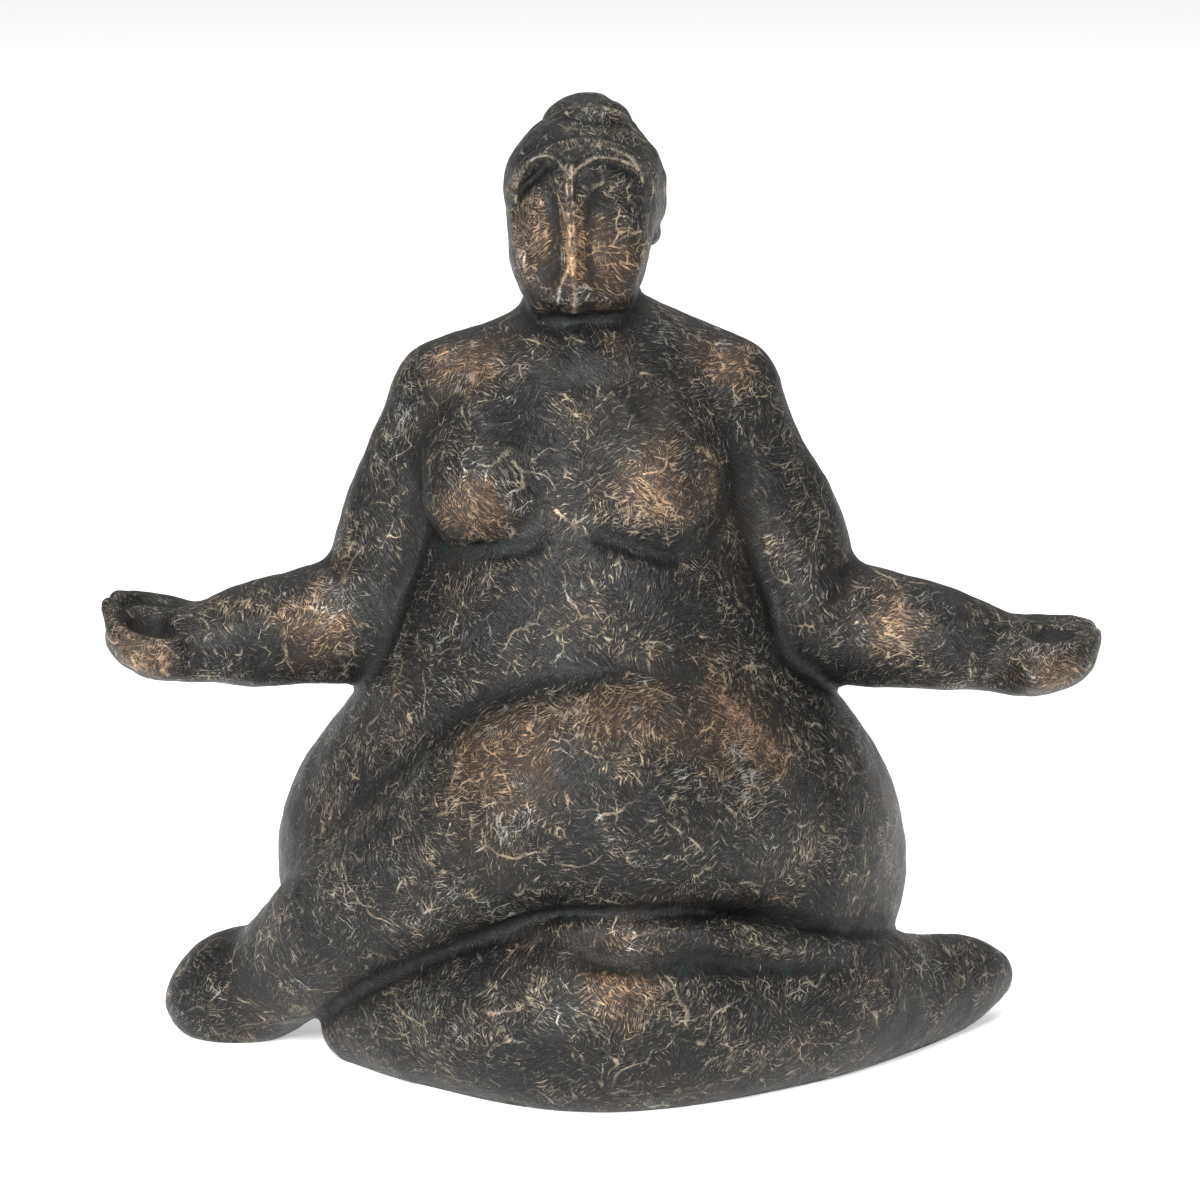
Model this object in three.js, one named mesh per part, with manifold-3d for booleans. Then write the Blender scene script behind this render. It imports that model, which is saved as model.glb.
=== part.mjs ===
// Seated woman in meditation: a cast figure with broad hips, crossed legs and open palms.
// Millimetres, +Z up. X runs to the viewer's right and the figure looks towards -Y.
// The body is one closed surface. Rounded masses and limbs are described by their distance to
// any point, they flow into each other where they meet, and the skin is laid where the distance is nil.

import * as THREE from 'three';
import { mergeVertices } from 'three/addons/utils/BufferGeometryUtils.js';
import Module from 'manifold-3d';

// Driving sizes

const LOW = [-214, -124, -9.2]; // corners of the space that holds the figure
const HIGH = [214, 134, 400];
const FLOOR = 0; // height at which the underside is cut flat
const GRID_STEP = 3.4; // spacing of the grid that the skin is laid on
const BLOCK = 5; // grid steps across a block that is passed over where the skin is far off
const FAR_BLOCKS = 1.9; // how many blocks away counts as far off
const SKIN_FACES = 9300; // triangles left on the skin after thinning
const GROUND_DEPTH = 20; // thickness of the block that the underside is cut with

// Head and hands keep their form more closely, by this much, from the first to the second height or reach.
const CARE_HEAD = { extra: 5, heights: [285, 310] };
const CARE_HANDS = { extra: 4, heights: [140, 150], reach: [145, 165] };

// Each rounded mass has a centre, three half-widths and, where it leans, turns about X, Y and Z.
const HIPS = { centre: [-3.2, 16, 74], radii: [128.2, 94, 98] };
const BUTTOCKS = [
  { centre: [-58, 58, 62], radii: [68, 60, 70] },
  { centre: [50, 58, 62], radii: [68, 60, 70] },
];
const BELLY = { centre: [-6, -8, 158], radii: [76, 60, 74] };
const WAIST = { centre: [-5, 6, 208], radii: [59, 50, 60] };
const CHEST = { centre: [-6, 4, 240], radii: [62, 44, 48] };
const SHOULDER_BLADES = [
  { centre: [-36, 34, 238], radii: [22, 15, 32], turns: [14, 10, 0] },
  { centre: [26, 34, 238], radii: [22, 15, 32], turns: [14, -10, 0] },
];
const SKULL = { centre: [-6.5, 2, 347], radii: [31, 34, 33] };
const JAW = { centre: [-8.5, -9, 331], radii: [25.5, 27, 29] };
const CHEEK_HOLLOWS = [
  { centre: [-24, -33, 342], radii: [9, 4, 19], turns: [0, 4, 0] },
  { centre: [4, -36.5, 341], radii: [12, 4, 19], turns: [0, -4, 0] },
];
const HAIR_CAP = { centre: [-6.5, 7, 348.5], radii: [31.5, 33, 30] };
const HAIR_ROLL = { centre: [9, 11, 345], radii: [16, 19, 23] };
const BUN = { centre: [-5, 17, 370], radii: [18.5, 16, 15] };
const ELBOW_FOLD = { centre: [82, -14, 179], radii: [12, 9, 15], turns: [0, 15, 0] };
const LEFT_FOOT = { centre: [-147.5, 12, 17.5], radii: [31.5, 22, 21.8], turns: [0, -14, 0] };
const HANDS = [
  {
    body: { centre: [-175.5, -12, 168.8], radii: [22, 18, 14], turns: [0, 17, 0] },
    palm: { centre: [-175, -22, 184], radii: [16, 10, 12], turns: [37, 8, 0] },
    near: [[-195, -10, 183, 4], [-191, -19, 178.5, 4.5], [-186, -25, 173, 5], [-180, -27, 167.5, 5]],
    far: [[-192, -2, 184, 4.5], [-184, 3, 182, 5], [-174, 5, 179.5, 5.5], [-163, 3, 176, 6]],
    wrist: [[-161, -4, 186], [-161, -22, 178], [-161, -28, 164], [-161, -20, 152]],
  },
  {
    body: { centre: [176.5, -12, 163], radii: [22.5, 19, 14.5], turns: [0, -13, 0] },
    palm: { centre: [180, -19, 182], radii: [18, 11, 11], turns: [27, -12, 0] },
    near: [[196, -11, 171, 4], [189, -20, 170.5, 5], [181, -26, 166, 6], [172, -27, 160, 6]],
    far: [[194, -2, 172, 5], [185, 3, 172, 5.5], [172, 4, 171, 6], [162, 2, 170, 7]],
    wrist: [[159, -6, 182], [159, -23, 174], [159, -27, 162], [159, -20, 150]],
  },
];

// Each limb runs through rows of x, y, z and its radius there.
const YOKE = [
  [-60, 6, 267, 21.5], [-38, 7, 275.5, 20], [-6, 8, 275, 20], [25, 7, 278, 20.5], [49, 6, 268.5, 21.8],
];
const NECK = [[-7, 5, 322, 22], [-7, 8, 301, 22.3], [-5, 9, 287, 27], [-3, 10, 272, 36]];
const BREASTS = [
  [[-40, -14, 262, 12], [-46, -26, 245, 20], [-47, -32, 233, 22.5]],
  [[14, -14, 262, 12], [20, -26, 245, 21], [21, -32, 232, 24.5]],
];
const NOSE = [
  [-13.5, -34.5, 355, 1.6], [-11.5, -36, 340, 1.8], [-10.5, -35.5, 322, 1.6], [-10, -33, 309, 1.2],
];
const HAIR_BAND = [
  [-33, -9, 345, 3], [-29, -17, 356, 4.5], [-17, -24, 363, 5],
  [0, -25.5, 365, 5], [13, -19, 358, 4.5], [19, -11, 346, 3],
];
const ARMS = [
  {
    upper: [[-60, 5, 260, 23.5], [-70, 6, 236, 25], [-79, 8, 206, 27], [-84, 9, 182, 26]],
    fore: [[-88, 7, 177, 27.5], [-118, 1, 173, 23.2], [-141, -5, 170.5, 20.2], [-159, -9, 168.5, 15]],
    creases: [
      [[-106, -14, 201], [-96, -22, 192], [-88, -27, 186]],
      [[-103, -22, 188], [-97, -26, 180], [-90, -27, 174]],
    ],
  },
  {
    upper: [[49, 5, 261, 23.5], [58, 6, 238, 25], [71, 8, 208, 28], [78, 9, 182, 27]],
    fore: [[82, 7, 176, 27], [108, 2, 172.5, 24], [134, -4, 169.5, 20.8], [159, -9, 165, 15.3]],
    creases: [[[97, -16, 196], [91, -24, 184], [93, -27, 172], [100, -24, 160]]],
  },
];
const CROSSING_LEG = [
  [48, -10, 99, 60], [17, -45, 115.5, 55.5], [-18, -58, 118, 46], [-58, -50, 93, 36.5],
  [-102, -26, 57, 29], [-130, -2, 30, 23], [-147, 11, 21, 21],
];
const FOLDED_LEG = [
  [-95, -20, 14, 17.5], [-60, -44, 26, 31], [0, -66, 35, 43], [70, -40, 31, 37],
  [121, 0, 20, 24.5], [147, 23, 18.5, 18.5], [160, 32, 18.5, 11.5],
];
const CALF_FOLD = [
  [-40, -70, 66, 5], [4, -86, 71, 8], [58, -80, 66, 7.5], [100, -46, 51, 5], [118, -20, 38, 3],
];

// Each crease follows a line of points and is this wide and this deep.
const SPINE = {
  line: [[-5, 58, 272], [-5, 62, 225], [-4, 78, 176], [-4, 100, 140]],
  width: 15,
  depth: 4.5,
};
const CLEFT = {
  line: [[-4, 106, 130], [-4, 122, 92], [-4, 126, 40], [-4, 110, 2]],
  width: 9,
  depth: 9,
};
const BUN_TWISTS = [
  { line: [[-20, 6, 374], [-10, 0, 380], [2, 2, 381], [10, 10, 379], [14, 22, 373]], width: 3, depth: 1.8 },
  { line: [[-16, 14, 383], [-6, 10, 386], [4, 14, 385], [9, 24, 381]], width: 3, depth: 1.5 },
];
const UNDER_FOLD = {
  line: [[-16, -94, 62], [14, -100, 62], [40, -96, 60], [70, -84, 58]],
  width: 5,
  depth: 2.5,
};
const COLLAR = {
  line: [[-34, -22, 282], [-16, -30, 276], [2, -31, 275], [24, -25, 279]],
  width: 4,
  depth: 1.4,
};
const ELBOW_CREASE = { width: 3, depth: 1.6 };
const WRIST_CREASE = { width: 4, depth: 1.6 };

// The two planes of the blank face meet in an upright edge.
const FACE_EDGE = [-11.5, -36, 340];
const FACE_NORMALS = [[-0.34, -1, 0.03], [0.22, -1, 0.03]];

// The breasts part crisply below and melt into the chest above, between these heights.
const BUST_MELT = { between: [216, 250], crisp: 5, soft: 20 };
// The crossing thigh parts from the belly and melts into the hip, between these places across.
const THIGH_MELT = { between: [50, 100], crisp: 6, soft: 22 };

// How softly forms flow into each other, in millimetres
const FLOW = {
  buttocks: 10, hips: 24, belly: 44, waist: 34, chest: 26, yoke: 18, blades: 16, bust: 4, neck: 18,
  jaw: 12, faceEdge: 5, hollow: 3, nose: 2, hairline: 1.5, roll: 5, band: 2.5, bun: 2, head: 5,
  elbow: 6, elbowFold: 8, palm: 3.5, lips: 2, rims: 4, wrist: 7, arms: 6, foot: 12, fold: 5, legs: 4,
};

// Distance helpers

function smoothMin(a, b, k) {
  const h = Math.max(k - Math.abs(a - b), 0) / k;
  return Math.min(a, b) - h * h * k * 0.25;
}

function smoothMax(a, b, k) {
  return -smoothMin(-a, -b, k);
}

function ramp(value, low, high) {
  const t = Math.min(Math.max((value - low) / (high - low), 0), 1);
  return t * t * (3 - 2 * t);
}

function melt(value, { between, crisp, soft }) {
  return crisp + (soft - crisp) * ramp(value, ...between);
}

// Distance to an ellipsoid, close to exact near its surface
function mass({ centre, radii, turns = [0, 0, 0] }) {
  const back = new THREE.Matrix4();
  const angles = turns.map((degrees) => THREE.MathUtils.degToRad(degrees));
  back.makeRotationFromEuler(new THREE.Euler(angles[0], angles[1], angles[2], 'ZYX')).invert();
  const m = back.elements;
  const [rx, ry, rz] = radii;
  return (x, y, z) => {
    const dx = x - centre[0];
    const dy = y - centre[1];
    const dz = z - centre[2];
    const u = (m[0] * dx + m[4] * dy + m[8] * dz) / rx;
    const v = (m[1] * dx + m[5] * dy + m[9] * dz) / ry;
    const w = (m[2] * dx + m[6] * dy + m[10] * dz) / rz;
    const near = Math.hypot(u, v, w);
    const slope = Math.hypot(u / rx, v / ry, w / rz) || Number.EPSILON;
    return (near * (near - 1)) / slope;
  };
}

// A smooth curve through rows of numbers: its value and its slope at u, one unit for each row
function curveThrough(rows) {
  const first = rows[0].map((value, i) => 2 * value - rows[1][i]);
  const end = rows.length - 1;
  const last = rows[end].map((value, i) => 2 * value - rows[end - 1][i]);
  const knots = [first, ...rows, last];
  const spans = rows.slice(1).map((_, n) => {
    const [a, b, c, d] = knots.slice(n, n + 4);
    return b.map((_, i) => [
      b[i],
      (c[i] - a[i]) / 2,
      a[i] - 2.5 * b[i] + 2 * c[i] - d[i] / 2,
      (d[i] - a[i]) / 2 + 1.5 * (b[i] - c[i]),
    ]);
  });
  return (u) => {
    const n = Math.min(Math.floor(u), spans.length - 1);
    const t = u - n;
    const value = spans[n].map(([p, q, r, s]) => p + t * (q + t * (r + t * s)));
    const slope = spans[n].map(([, q, r, s]) => q + t * (2 * r + 3 * t * s));
    const bend = spans[n].map(([, , r, s]) => 2 * r + 6 * t * s);
    return { value, slope, bend };
  };
}

const LIMB_STEPS = 3; // straight pieces for each row, before the nearest point is made exact
const LIMB_REACH = 40; // beyond this a limb has no effect
const LIMB_PASSES = 2; // times that the nearest point is bettered
const MOST_MOVE = 0.5; // furthest that it moves in a pass, in rows
const LEAST_SPEED = 0.4; // share of the curve's own speed that a tight bend may leave
const MOST_SLACK = 3; // an exact distance is never this far above the straight pieces' one

// Distance to a round limb: a ball whose centre and radius follow a smooth curve
function limb(rows) {
  const curve = curveThrough(rows);
  const end = rows.length - 1;
  const beads = [];
  for (let n = 0; n <= end * LIMB_STEPS; n++) beads.push(curve(n / LIMB_STEPS).value);
  const low = [0, 1, 2].map((i) => Math.min(...rows.map((row) => row[i] - row[3])) - LIMB_REACH);
  const high = [0, 1, 2].map((i) => Math.max(...rows.map((row) => row[i] + row[3])) + LIMB_REACH);
  return (x, y, z) => {
    if (x < low[0] || y < low[1] || z < low[2]) return LIMB_REACH;
    if (x > high[0] || y > high[1] || z > high[2]) return LIMB_REACH;
    let best = Infinity;
    let u = 0;
    for (let n = 0; n < beads.length - 1; n++) {
      const [ax, ay, az, ar] = beads[n];
      const [bx, by, bz, br] = beads[n + 1];
      const ex = bx - ax;
      const ey = by - ay;
      const ez = bz - az;
      const along = ((x - ax) * ex + (y - ay) * ey + (z - az) * ez) / (ex * ex + ey * ey + ez * ez);
      const t = Math.min(Math.max(along, 0), 1);
      const d = Math.hypot(x - ax - t * ex, y - ay - t * ey, z - az - t * ez) - ar - t * (br - ar);
      if (d < best) {
        best = d;
        u = (n + t) / LIMB_STEPS;
      }
    }
    for (let pass = 0; pass < LIMB_PASSES; pass++) {
      const { value, slope, bend } = curve(u);
      const w = [x - value[0], y - value[1], z - value[2]];
      const far = Math.hypot(...w);
      const speed = slope[0] ** 2 + slope[1] ** 2 + slope[2] ** 2;
      const turning = w[0] * bend[0] + w[1] * bend[1] + w[2] * bend[2];
      const drift = w[0] * slope[0] + w[1] * slope[1] + w[2] * slope[2] + slope[3] * far;
      const move = drift / Math.max(speed - turning, LEAST_SPEED * speed);
      u = Math.min(Math.max(u + Math.min(Math.max(move, -MOST_MOVE), MOST_MOVE), 0), end);
    }
    const { value } = curve(u);
    const exact = Math.hypot(x - value[0], y - value[1], z - value[2]) - value[3];
    return Math.min(exact, best + MOST_SLACK, LIMB_REACH);
  };
}

function apart(a, b) {
  return Math.hypot(a[0] - b[0], a[1] - b[1], a[2] - b[2]);
}

const CREASE_FADE = 0.2; // share of a crease's length over which each end fades out

// Depth of a soft crease along a line of points, fading out at both ends
function crease({ line, width, depth }) {
  const lengths = line.slice(1).map((point, i) => apart(point, line[i]));
  const whole = lengths.reduce((sum, length) => sum + length, 0);
  return (x, y, z) => {
    let best = Infinity;
    let place = 0;
    let passed = 0;
    for (let n = 0; n < lengths.length; n++) {
      const [ax, ay, az] = line[n];
      const ex = line[n + 1][0] - ax;
      const ey = line[n + 1][1] - ay;
      const ez = line[n + 1][2] - az;
      const along = ((x - ax) * ex + (y - ay) * ey + (z - az) * ez) / lengths[n] ** 2;
      const t = Math.min(Math.max(along, 0), 1);
      const d = Math.hypot(x - ax - t * ex, y - ay - t * ey, z - az - t * ez);
      if (d < best) {
        best = d;
        place = (passed + t * lengths[n]) / whole;
      }
      passed += lengths[n];
    }
    const fade = ramp(Math.min(place, 1 - place), 0, CREASE_FADE);
    return depth * fade * Math.exp(-((best / width) ** 2));
  };
}

function facet(point, direction) {
  const normal = new THREE.Vector3(...direction).normalize();
  const offset = normal.dot(new THREE.Vector3(...point));
  return (x, y, z) => normal.x * x + normal.y * y + normal.z * z - offset;
}

// Body parts

function makeTorso() {
  const hips = mass(HIPS);
  const buttocks = BUTTOCKS.map(mass);
  const belly = mass(BELLY);
  const waist = mass(WAIST);
  const chest = mass(CHEST);
  const yoke = limb(YOKE);
  const blades = SHOULDER_BLADES.map(mass);
  const breasts = BREASTS.map(limb);
  const spine = crease(SPINE);
  const cleft = crease(CLEFT);
  const collar = crease(COLLAR);
  return (x, y, z) => {
    const seat = smoothMin(buttocks[0](x, y, z), buttocks[1](x, y, z), FLOW.buttocks);
    let d = smoothMin(hips(x, y, z), seat, FLOW.hips);
    d = smoothMin(d, belly(x, y, z), FLOW.belly);
    d = smoothMin(d, waist(x, y, z), FLOW.waist);
    d = smoothMin(d, chest(x, y, z), FLOW.chest);
    d = smoothMin(d, yoke(x, y, z), FLOW.yoke);
    d = smoothMin(d, Math.min(blades[0](x, y, z), blades[1](x, y, z)), FLOW.blades);
    d += spine(x, y, z) + cleft(x, y, z) + collar(x, y, z);
    const bust = smoothMin(breasts[0](x, y, z), breasts[1](x, y, z), FLOW.bust);
    return smoothMin(d, bust, melt(z, BUST_MELT));
  };
}

function makeHead() {
  const skull = mass(SKULL);
  const jaw = mass(JAW);
  const planes = FACE_NORMALS.map((normal) => facet(FACE_EDGE, normal));
  const hollows = CHEEK_HOLLOWS.map(mass);
  const nose = limb(NOSE);
  const cap = mass(HAIR_CAP);
  const roll = mass(HAIR_ROLL);
  const band = limb(HAIR_BAND);
  const bun = mass(BUN);
  const twists = BUN_TWISTS.map(crease);
  return (x, y, z) => {
    let d = smoothMin(skull(x, y, z), jaw(x, y, z), FLOW.jaw);
    for (const plane of planes) d = smoothMax(d, plane(x, y, z), FLOW.faceEdge);
    d = smoothMax(d, -Math.min(hollows[0](x, y, z), hollows[1](x, y, z)), FLOW.hollow);
    d = smoothMin(d, nose(x, y, z), FLOW.nose);
    d = smoothMin(d, smoothMin(cap(x, y, z), roll(x, y, z), FLOW.roll), FLOW.hairline);
    d = smoothMin(d, band(x, y, z), FLOW.band);
    const knot = bun(x, y, z) + twists[0](x, y, z) + twists[1](x, y, z);
    return smoothMin(d, knot, FLOW.bun);
  };
}

function makeHand({ body, palm, near, far, wrist }) {
  const mitt = mass(body);
  const hollow = mass(palm);
  const rims = [limb(near), limb(far)];
  const groove = crease({ line: wrist, ...WRIST_CREASE });
  return (x, y, z) => {
    const lips = smoothMin(rims[0](x, y, z), rims[1](x, y, z), FLOW.lips);
    const cupped = smoothMin(mitt(x, y, z), lips, FLOW.rims);
    return smoothMax(cupped, -hollow(x, y, z), FLOW.palm) + groove(x, y, z);
  };
}

function makeArm({ upper, fore, creases }, hand, fold) {
  const top = limb(upper);
  const forearm = limb(fore);
  const lines = creases.map((line) => crease({ line, ...ELBOW_CREASE }));
  return (x, y, z) => {
    let d = smoothMin(top(x, y, z), forearm(x, y, z), FLOW.elbow);
    if (fold) d = smoothMin(d, fold(x, y, z), FLOW.elbowFold);
    for (const line of lines) d += line(x, y, z);
    return smoothMin(d, hand(x, y, z), FLOW.wrist);
  };
}

function makeLegs() {
  const crossing = limb(CROSSING_LEG);
  const foot = mass(LEFT_FOOT);
  const folded = limb(FOLDED_LEG);
  const fold = limb(CALF_FOLD);
  const under = crease(UNDER_FOLD);
  return {
    upper: (x, y, z) => smoothMin(crossing(x, y, z), foot(x, y, z), FLOW.foot),
    lower: (x, y, z) => smoothMin(folded(x, y, z), fold(x, y, z), FLOW.fold) + under(x, y, z),
  };
}

function makeFigure() {
  const torso = makeTorso();
  const neck = limb(NECK);
  const head = makeHead();
  const legs = makeLegs();
  const hands = HANDS.map(makeHand);
  const arms = [makeArm(ARMS[0], hands[0]), makeArm(ARMS[1], hands[1], mass(ELBOW_FOLD))];
  return (x, y, z) => {
    let d = smoothMin(torso(x, y, z), neck(x, y, z), FLOW.neck);
    d = smoothMin(d, head(x, y, z), FLOW.head);
    d = smoothMin(d, legs.upper(x, y, z), melt(x, THIGH_MELT));
    d = smoothMin(d, legs.lower(x, y, z), FLOW.legs);
    d = smoothMin(d, arms[0](x, y, z), FLOW.arms);
    return smoothMin(d, arms[1](x, y, z), FLOW.arms);
  };
}

// Skin

// Closed net of squares around all points where the distance is below nil. Every cell of the grid
// that the surface crosses gets one point, in the middle of its crossings.
function laySkin(distance) {
  const count = LOW.map((low, axis) => Math.ceil((HIGH[axis] - low) / GRID_STEP) + 1);
  const [nx, ny, nz] = count;
  const stride = [1, nx, nx * ny];
  const values = new Float32Array(nx * ny * nz);
  const at = (axis, n) => LOW[axis] + n * GRID_STEP;
  const farOff = FAR_BLOCKS * BLOCK * GRID_STEP;
  for (let k = 0; k < nz; k++) {
    for (let j = 0; j < ny; j++) {
      let guess = 0;
      for (let i = 0; i < nx; i++) {
        // far from the skin one distance serves a whole block
        const middle = [i, j, k].map((n, axis) => at(axis, (Math.floor(n / BLOCK) + 0.5) * BLOCK));
        if (i % BLOCK === 0) guess = distance(...middle);
        const far = Math.abs(guess) > farOff;
        const value = far ? guess : distance(at(0, i), at(1, j), at(2, k));
        values[i + j * stride[1] + k * stride[2]] = k === 0 ? Math.max(value, GRID_STEP / 2) : value;
      }
    }
  }
  const corners = [0, 1, 2, 3, 4, 5, 6, 7].map((c) => [c & 1, (c >> 1) & 1, c >> 2]);
  const edges = corners.flatMap((a, i) => [0, 1, 2].filter((axis) => !a[axis]).map((axis) => [i, axis]));
  const pointOf = new Int32Array(values.length).fill(-1);
  const points = [];
  const squares = [];
  for (let k = 0; k < nz - 1; k++) {
    for (let j = 0; j < ny - 1; j++) {
      for (let i = 0; i < nx - 1; i++) {
        const base = i + j * stride[1] + k * stride[2];
        const sum = [0, 0, 0];
        let crossings = 0;
        for (const [corner, axis] of edges) {
          const [ci, cj, ck] = corners[corner];
          const a = base + ci + cj * stride[1] + ck * stride[2];
          const va = values[a];
          const vb = values[a + stride[axis]];
          if (va < 0 === vb < 0) continue;
          const crossing = [i + ci, j + cj, k + ck];
          crossing[axis] += va / (va - vb);
          for (const q of [0, 1, 2]) sum[q] += crossing[q];
          crossings++;
        }
        if (crossings) {
          pointOf[base] = points.length;
          points.push(sum.map((value, q) => LOW[q] + (value / crossings) * GRID_STEP));
        }
        for (const axis of [0, 1, 2]) {
          const [u, v] = [(axis + 1) % 3, (axis + 2) % 3];
          const here = [i, j, k];
          const inside = values[base] < 0;
          if (!here[u] || !here[v] || inside === values[base + stride[axis]] < 0) continue;
          const ring = [base, base - stride[u], base - stride[u] - stride[v], base - stride[v]];
          squares.push(inside ? ring : ring.reverse());
        }
      }
    }
  }
  return { points, squares: squares.map((ring) => ring.map((cell) => pointOf[cell])) };
}

// A quadric holds the summed squares of distances to planes: the ten terms of a symmetric matrix.
function planeQuadric([nx, ny, nz], offset, weight) {
  const row = [nx, ny, nz, offset];
  return row.flatMap((a, i) => row.slice(i).map((b) => a * b * weight));
}

function quadricAt(q, [x, y, z]) {
  const squares = q[0] * x * x + q[4] * y * y + q[7] * z * z + q[9];
  return squares + 2 * (q[1] * x * y + q[2] * x * z + q[3] * x + q[5] * y * z + q[6] * y + q[8] * z);
}

const LEAST_SPREAD = 1e-4; // how near to parallel a quadric's planes may be before its point is left open

// The point where a quadric is least, or null where its planes leave that open
function lowestPoint(q) {
  const m = new THREE.Matrix3().set(q[0], q[1], q[2], q[1], q[4], q[5], q[2], q[5], q[7]);
  const size = q[0] + q[4] + q[7];
  if (Math.abs(m.determinant()) < LEAST_SPREAD * size ** 3) return null;
  return new THREE.Vector3(-q[3], -q[6], -q[8]).applyMatrix3(m.invert()).toArray();
}

function faceNormal(a, b, c) {
  const ab = [b[0] - a[0], b[1] - a[1], b[2] - a[2]];
  const ac = [c[0] - a[0], c[1] - a[1], c[2] - a[2]];
  return [ab[1] * ac[2] - ab[2] * ac[1], ab[2] * ac[0] - ab[0] * ac[2], ab[0] * ac[1] - ab[1] * ac[0]];
}

// A heap that hands out its cheapest entry first
class Queue {
  entries = [];

  push(entry) {
    const { entries } = this;
    let n = entries.length;
    while (n > 0) {
      const parent = (n - 1) >> 1;
      if (entries[parent].cost <= entry.cost) break;
      entries[n] = entries[parent];
      n = parent;
    }
    entries[n] = entry;
  }

  pop() {
    const { entries } = this;
    const top = entries[0];
    const moved = entries.pop();
    const size = entries.length;
    if (!size) return top;
    let n = 0;
    for (;;) {
      let child = 2 * n + 1;
      if (child >= size) break;
      if (child + 1 < size && entries[child + 1].cost < entries[child].cost) child++;
      if (entries[child].cost >= moved.cost) break;
      entries[n] = entries[child];
      n = child;
    }
    entries[n] = moved;
    return top;
  }
}

// How closely the skin keeps its form at a place, beside broad plain skin
function care([x, , z]) {
  const head = ramp(z, ...CARE_HEAD.heights);
  const hands = ramp(Math.abs(x), ...CARE_HANDS.reach) * ramp(z, ...CARE_HANDS.heights);
  return 1 + CARE_HEAD.extra * head + CARE_HANDS.extra * hands;
}

const MOST_SHIFT = 1.5; // furthest that a joined point may move from its edge's middle, in edge lengths
const LENGTH_COST = 1e-4; // what a long edge costs, so that flat parts keep even faces
const LEAST_FACING = 0.35; // how far a face may swing round when a point moves, as a cosine

// Joins the two ends of the edge that changes the form least, over and over
function thin(points, triangles, wanted) {
  const faces = triangles.map((triangle) => [...triangle]);
  const facesAt = points.map(() => new Set());
  const quadrics = points.map(() => new Array(10).fill(0));
  const version = new Int32Array(points.length);
  faces.forEach((face, f) => {
    const cross = faceNormal(...face.map((p) => points[p]));
    const area = Math.hypot(...cross) || Number.EPSILON;
    const normal = cross.map((value) => value / area);
    const [x, y, z] = points[face[0]];
    const offset = -(normal[0] * x + normal[1] * y + normal[2] * z);
    const quadric = planeQuadric(normal, offset, area * care(points[face[0]]));
    for (const p of face) {
      facesAt[p].add(f);
      quadrics[p] = quadrics[p].map((term, i) => term + quadric[i]);
    }
  });
  const neighbours = (p) => new Set([...facesAt[p]].flatMap((f) => faces[f]).filter((other) => other !== p));
  const queue = new Queue();
  const offer = (a, b) => {
    const joint = quadrics[a].map((term, i) => term + quadrics[b][i]);
    const middle = points[a].map((value, i) => (value + points[b][i]) / 2);
    let at = lowestPoint(joint) ?? middle;
    const span = apart(points[a], points[b]);
    if (apart(at, middle) > MOST_SHIFT * span) at = middle;
    if (points[a][2] === FLOOR || points[b][2] === FLOOR) at = [at[0], at[1], FLOOR];
    const cost = Math.abs(quadricAt(joint, at)) + LENGTH_COST * span ** 4;
    queue.push({ cost, a, b, at, joint, from: [version[a], version[b]] });
  };
  points.forEach((_, p) => neighbours(p).forEach((other) => other > p && offer(p, other)));
  const folds = (p, gone, at) => [...facesAt[p]].some((f) => {
    if (faces[f].includes(gone)) return false;
    const before = faceNormal(...faces[f].map((q) => points[q]));
    const after = faceNormal(...faces[f].map((q) => (q === p ? at : points[q])));
    const dot = before[0] * after[0] + before[1] * after[1] + before[2] * after[2];
    return dot < LEAST_FACING * Math.hypot(...before) * Math.hypot(...after);
  });
  let left = faces.length;
  while (left > wanted && queue.entries.length) {
    const { a, b, at, joint, from } = queue.pop();
    if (version[a] !== from[0] || version[b] !== from[1]) continue;
    const aroundA = neighbours(a);
    const shared = [...neighbours(b)].filter((other) => aroundA.has(other));
    if (shared.length !== 2 || folds(a, b, at) || folds(b, a, at)) continue;
    for (const f of facesAt[b]) {
      if (faces[f].includes(a)) {
        for (const p of faces[f]) if (p !== b) facesAt[p].delete(f);
        faces[f] = null;
        left--;
      } else {
        faces[f] = faces[f].map((p) => (p === b ? a : p));
        facesAt[a].add(f);
      }
    }
    facesAt[b] = new Set();
    version[b] = -1;
    version[a]++;
    points[a] = at;
    quadrics[a] = joint;
    neighbours(a).forEach((other) => offer(a, other));
  }
  return faces.filter(Boolean);
}

// Cuts each square along its shorter diagonal
function splitSquares(points, squares) {
  return squares.flatMap(([a, b, c, d]) => {
    const shorter = apart(points[a], points[c]) < apart(points[b], points[d]);
    return shorter ? [[a, b, c], [a, c, d]] : [[a, b, d], [b, c, d]];
  });
}

// Solids

const wasm = await Module();
wasm.setup();

function threes(values) {
  return Array.from({ length: values.length / 3 }, (_, n) => [...values.slice(3 * n, 3 * n + 3)]);
}

function toSolid(numbers, corners) {
  const vertProperties = new Float32Array(numbers);
  const triVerts = new Uint32Array(corners);
  return new wasm.Manifold(new wasm.Mesh({ numProp: 3, vertProperties, triVerts }));
}

function boxSolid(low, high) {
  const size = high.map((value, axis) => value - low[axis]);
  const box = new THREE.BoxGeometry(...size).translate(...low.map((value, axis) => value + size[axis] / 2));
  box.deleteAttribute('normal');
  box.deleteAttribute('uv');
  const merged = mergeVertices(box);
  return toSolid(merged.attributes.position.array, merged.index.array);
}

function toGeometry(points, triangles) {
  const used = new Map();
  for (const p of triangles.flat()) if (!used.has(p)) used.set(p, used.size);
  const positions = [...used.keys()].flatMap((p) => points[p]);
  const geometry = new THREE.BufferGeometry();
  geometry.setAttribute('position', new THREE.Float32BufferAttribute(positions, 3));
  geometry.setIndex(triangles.flat().map((p) => used.get(p)));
  geometry.computeVertexNormals();
  return geometry;
}

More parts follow.
